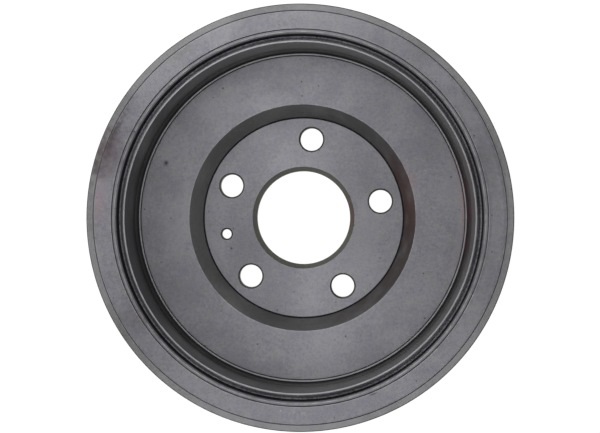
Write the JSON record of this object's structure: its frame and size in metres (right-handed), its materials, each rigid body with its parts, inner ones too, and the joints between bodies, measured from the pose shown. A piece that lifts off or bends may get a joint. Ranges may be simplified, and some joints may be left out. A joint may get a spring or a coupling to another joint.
{
  "type": "brake drum",
  "caption": "Open-ended cast drum with a turned friction wall, a grooved flange round its mouth, and a dished hub plate with a centre bore, stud holes and a screw hole.",
  "frame": {"origin": "centre of the wheel seat, on the drum's axis", "axes": "+Z along the axis from the wheel seat towards the open end; the first stud hole is 12 degrees round from +X towards +Y"},
  "size_m": [0.28, 0.28, 0.075],
  "materials": {
    "drum_iron": "turned working faces under a thin grey coat, as-cast skin elsewhere"
  },
  "bodies": {
    "root": {"brake_drum": "drum_iron"}
  },
  "joints": []
}
